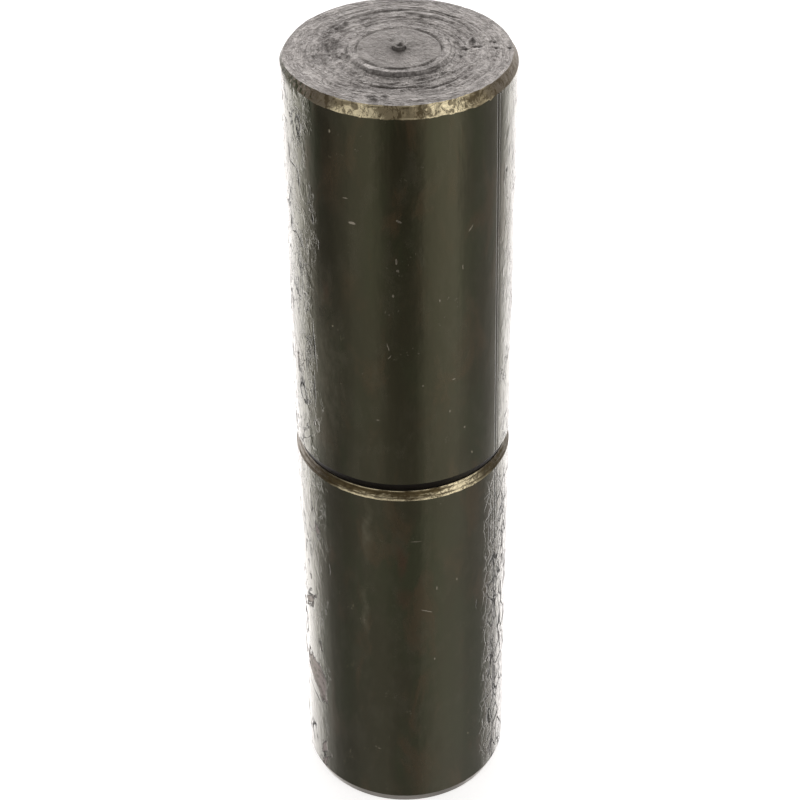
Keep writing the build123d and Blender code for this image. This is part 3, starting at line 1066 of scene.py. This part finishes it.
class HINGE_OT_lower_barrel(Operator):
    """Turns the post's barrel, with its nicked bevels and the seat for the pin"""

    bl_idname = "hinge.lower_barrel"
    bl_label = "Lower barrel"

    def execute(self, context):
        sizes, colours = context.scene.hinge_sizes, context.scene.hinge_colours
        top, seat = LOWER_HIGH.z, PIN_LOW.z
        corners = [
            (0, 0, 3 * MM),
            (BARREL_R - sizes.foot_in, 0, 0.25 * MM),
            (BARREL_R, sizes.foot_up, 1.2 * MM),
            (BARREL_R, top - sizes.joint_along, 0.12 * MM),
            (BARREL_R - sizes.joint_in, top, 0.4 * MM),
            (PIN_R + sizes.mouth, top, 0.4 * MM),
            (PIN_R, top - sizes.mouth, 20 * MM),
            (PIN_R, seat, 4 * MM),
            (0, seat - PIN_R / math.tan(DRILL_HALF), MM),
        ]
        piece = turned_blank("lower_barrel_turned", corners, sizes.segments)
        r, z, bearing = face_middles(piece)
        zones = np.zeros(len(r))
        zones[(np.abs(bearing) < FRONT_HALF) & (r > BARREL_R - NEAR)] = FRONT
        zones[(z > top - sizes.joint_along) & (r > BARREL_R - sizes.joint_in)] = BEVEL
        zones[(z < sizes.foot_up) & (r > BARREL_R - sizes.foot_in)] = TURNED
        zones[(z < NEAR) & (r < BARREL_R - sizes.foot_in)] = END
        zones[(z > top - sizes.mouth) & (r < BARREL_R - sizes.joint_in)] = END
        zones[(z > MM) & (r < PIN_R + NEAR)] = END
        base = points_of(piece)
        points = base.copy()
        joint = ((BARREL_R, top - sizes.joint_along), (BARREL_R - sizes.joint_in, top))
        share = nicked_rim(points, base, *joint, LOWER_SEED, 0.22 * MM, worst=-40)
        nicked_rim(points, base, (BARREL_R, sizes.foot_up), (BARREL_R - sizes.foot_in, 0), 23.0, 0.12 * MM)
        furrows = np.maximum(window(share, 0.24, 0.13), window(share, 0.72, 0.12))
        furrows *= 0.5 + 0.5 * np.clip(ring_noise(base, 5, 0, 33.0) * 3 + 0.6, 0, 1)
        angle = bearings(base)
        points[:, 0] -= np.cos(angle) * furrows * 0.07 * MM
        points[:, 1] -= np.sin(angle) * furrows * 0.07 * MM
        rubbed_and_highlit = worn_edges(base, share, LOWER_SEED)
        # Painted highlights and shade on the joint bevel, placed by bearing, with dirt.
        wear(piece, base, points, hollow=furrows, worn_edge=rubbed_and_highlit, grime=joint_grime(base, share))
        oil_and_shade_tints = colours.bevel, colours.joint_bevel_oil_and_shade, colours.joint_side_dirt_and_shade
        finishes = [
            bpy.data.materials["mill_scale_flank"],
            turned_bevel("joint_bevel_oil_and_painted_light", *oil_and_shade_tints, around=9, across=5200),
            turned_steel("faced_steel", colours.faced, 0.35, 2500, 0.02),
            turned_steel("turned_foot_steel", colours.foot, 0.4, 2000, 0.03),
            bpy.data.materials["mill_scale_front"],
        ]
        dress(piece, finishes, zones)
        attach(piece, "lower")
        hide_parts("lower_barrel")
        return {"FINISHED"}


class HINGE_OT_pin(Operator):
    """Turns and grinds the fixed pin, with the cup for the ball in its top end"""

    bl_idname = "hinge.pin"
    bl_label = "Pin"

    def execute(self, context):
        sizes, colours = context.scene.hinge_sizes, context.scene.hinge_colours
        foot, top = PIN_LOW.z, PIN_HIGH.z
        corners = [
            (0, foot, 3 * MM),
            (PIN_R - sizes.pin_heel, foot, 0.3 * MM),
            (PIN_R, foot + sizes.pin_heel, 3 * MM),
            (PIN_R, top - sizes.pin_lead, 0.3 * MM),
            (PIN_R - sizes.pin_lead, top, 0.4 * MM),
            (sizes.cup_r, top, 0.4 * MM),
            (0, top - sizes.cup_r / math.tan(CUP_HALF), MM),
        ]
        piece = turned_blank("hinge_pin_ground", corners, 256)
        r, z, _ = face_middles(piece)
        zones = np.zeros(len(r))
        zones[(z > top - sizes.pin_lead) & (r < PIN_R - NEAR)] = 1
        finishes = [
            turned_steel("ground_pin_steel", colours.pin, 0.2, 6000, 0.004),
            turned_steel("turned_pin_end", colours.pin, 0.34, 2600, 0.02),
        ]
        dress(piece, finishes, zones)
        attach(piece, "lower")
        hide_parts("hinge_pin")
        return {"FINISHED"}


class HINGE_OT_ball(Operator):
    """Forms the polished ball that carries the leaf"""

    bl_idname = "hinge.ball"
    bl_label = "Ball"

    def execute(self, context):
        centre = (BALL_LOW.z + BALL_HIGH.z) / 2
        arc = [math.pi * i / 72 for i in range(73)]
        corners = [(BALL_R * math.sin(a), centre - BALL_R * math.cos(a), MM) for a in arc]
        corners[0], corners[-1] = (0, centre - BALL_R, MM), (0, centre + BALL_R, MM)
        piece = turned_blank("thrust_ball_polished", corners, 192)
        ball_steel = turned_steel("polished_ball_steel", context.scene.hinge_colours.ball, 0.09, 500, 0.0006)
        dress(piece, [ball_steel], np.zeros(len(piece.data.polygons)))
        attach(piece, "ball")
        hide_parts("thrust_ball")
        return {"FINISHED"}


# ---------------------------------------------------------------- stage


def studio_world(scene):
    """Soft light from all round, weaker from the camera's side, with two tall soft panels in front and a
    pale sweep behind. The sweep is seen low in the flanks, so it is drawn twice: as the upper barrel
    mirrors it, and steeper, as the lower one does."""
    world = bpy.data.worlds.new("studio")
    world.use_nodes = True
    world.node_tree.nodes.clear()
    add = partial(add_node, world.node_tree)
    direction = add("TexCoord", output="Generated")
    apart = add("SeparateXYZ", direction).node.outputs
    front = add("Math", apart["Y"], -1.0, operation="MULTIPLY")
    bearing = add("Math", apart["X"], front, operation="ARCTAN2")
    turn = add("MapRange", bearing, -math.pi, math.pi)
    steep = light_by_bearing(
        add,
        turn,
        (-180, 1.7), (-150, 3.2), (-125, 3.3), (-112, 1.3), (-103, 0.8), (-88, 0.42), (-68, 0.36), (-48, 0.5),
        (-26, 0.55), (-8, 0.42), (12, 0.42), (26, 0.7), (46, 0.86), (64, 0.78), (82, 0.55), (98, 0.5),
        (112, 0.85), (122, 1.5), (132, 2.9), (146, 3.2), (162, 2.1), (180, 1.7),
    )
    shallow = light_by_bearing(
        add,
        turn,
        (-180, 1.8), (-150, 3.0), (-124, 3.1), (-113, 1.95), (-104, 1.0), (-96, 0.5), (-88, 0.2), (-76, 0.2),
        (-62, 0.42), (-44, 0.78), (-28, 0.85), (-17, 0.42), (-5, 0.18), (9, 0.2), (18, 0.36), (27, 1.0),
        (42, 1.2), (58, 1.35), (64, 0.7), (80, 0.5), (104, 0.55), (117, 0.8), (127, 1.8), (137, 3.0),
        (156, 2.5), (180, 1.8),
    )
    above = light_by_bearing(
        add,
        turn,
        (-180, 2.9), (-152, 2.3), (-124, 1.8), (-104, 0.7), (-75, 0.4), (-48, 0.95), (-25, 0.4), (-5, 0.25),
        (15, 0.3), (38, 1.3), (60, 1.2), (85, 0.4), (106, 0.7), (126, 1.6), (154, 2.3), (180, 2.9),
    )
    height = apart["Z"]
    share = add("MapRange", height, -0.68, -0.5, **SMOOTH)
    light = add("Mix", inputs={0: share, 2: steep, 3: shallow})
    most = add("MapRange", height, -0.75, -0.67, 1.6, 3.4)
    light = add("Math", light, most, operation="MINIMUM")
    level = add("Math", light, 1.2, operation="MINIMUM")
    for low, high, then in ((-0.44, -0.3, level), (-0.1, 0.3, above), (0.4, 0.85, 0.4)):
        share = add("MapRange", height, low, high, **SMOOTH)
        light = add("Mix", inputs={0: share, 2: light, 3: then})
    share = add("MapRange", height, -0.92, -0.8, **SMOOTH)
    light = add("Mix", inputs={0: share, 2: 0.45, 3: light})
    seen = add("LightPath", output="Is Camera Ray")
    light = add("Mix", inputs={0: seen, 2: light, 3: 1.0})
    tint = painted(add, linear("#fffbfb"), (seen, linear("#ffffff")))
    add("OutputWorld", add("Background", tint, light))
    scene.world = world


def light_by_bearing(add, turn, *stops):
    """Brightness by bearing: stops are (degrees from the front, strength), a fifth of it stored as grey."""
    ramped = add("ValToRGB", turn)
    elements = ramped.node.color_ramp.elements
    ramped.node.color_ramp.interpolation = "EASE"
    for i, (degrees, strength) in enumerate(stops):
        element = elements[i] if i < 2 else elements.new((degrees + 180) / 360)
        element.position = (degrees + 180) / 360
        element.color = (strength / 5, strength / 5, strength / 5, 1)
    return add("Math", ramped, 5.0, operation="MULTIPLY")


class HINGE_OT_stage(Operator):
    """Adds the floor, the light and the camera"""

    bl_idname = "hinge.stage"
    bl_label = "Stage"

    def execute(self, context):
        scene, stage = context.scene, context.scene.hinge_stage
        studio_world(scene)
        deselect_all()
        bpy.ops.mesh.primitive_plane_add(size=6, location=(0, 0, 0))
        floor = bpy.context.object
        floor.name = "floor"
        material, add = new_material("pale_floor")
        seen = add("LightPath", output="Is Camera Ray")
        glow = add("Math", seen, 0.62, operation="MULTIPLY")
        shader = add(
            "BsdfPrincipled", Base_Color=linear("#f4f4f2"), Roughness=0.9,
            Emission_Color=linear("#ffffff"), Emission_Strength=glow,
        )
        add("OutputMaterial", shader)
        floor.data.materials.append(material)
        floor.visible_glossy = False
        bpy.ops.object.camera_add(location=(stage.camera_x, -stage.camera_back, stage.camera_up))
        camera = bpy.context.object
        camera.rotation_mode = "ZYX"
        camera.rotation_euler = (math.pi / 2 - stage.tilt, 0, stage.roll)
        camera.data.lens = stage.lens
        camera.data.clip_start = 0.01
        scene.camera = camera
        scene.view_settings.view_transform = "Standard"
        return {"FINISHED"}


class HINGE_PT_panel(Panel):
    """Lists the steps and the settings in the sidebar"""

    bl_idname = "HINGE_PT_panel"
    bl_label = "Barrel hinge"
    bl_space_type = "VIEW_3D"
    bl_region_type = "UI"
    bl_category = "Barrel hinge"

    def draw(self, context):
        for operator in OPERATORS:
            self.layout.operator(operator.bl_idname)
        for group in GROUPS:
            settings = getattr(context.scene, group)
            for name in settings.bl_rna.properties.keys():
                if name not in ("rna_type", "name"):
                    self.layout.prop(settings, name)


GROUPS = {"hinge_sizes": HingeSizes, "hinge_colours": HingeColours, "hinge_stage": HingeStage}
OPERATORS = (HINGE_OT_upper_barrel, HINGE_OT_lower_barrel, HINGE_OT_pin, HINGE_OT_ball, HINGE_OT_stage)


def register():
    """Registers the settings, the steps and the panel."""
    for name, group in GROUPS.items():
        bpy.utils.register_class(group)
        setattr(bpy.types.Scene, name, PointerProperty(type=group))
    for operator in OPERATORS:
        bpy.utils.register_class(operator)
    bpy.utils.register_class(HINGE_PT_panel)


def unregister():
    """Takes the panel, the steps and the settings away again."""
    bpy.utils.unregister_class(HINGE_PT_panel)
    for operator in reversed(OPERATORS):
        bpy.utils.unregister_class(operator)
    for name, group in reversed(GROUPS.items()):
        delattr(bpy.types.Scene, name)
        bpy.utils.unregister_class(group)


def main():
    """Builds every piece and the stage."""
    register()
    bpy.ops.hinge.upper_barrel()
    bpy.ops.hinge.lower_barrel()
    bpy.ops.hinge.pin()
    bpy.ops.hinge.ball()
    bpy.ops.hinge.stage()


if __name__ == "__main__":
    main()
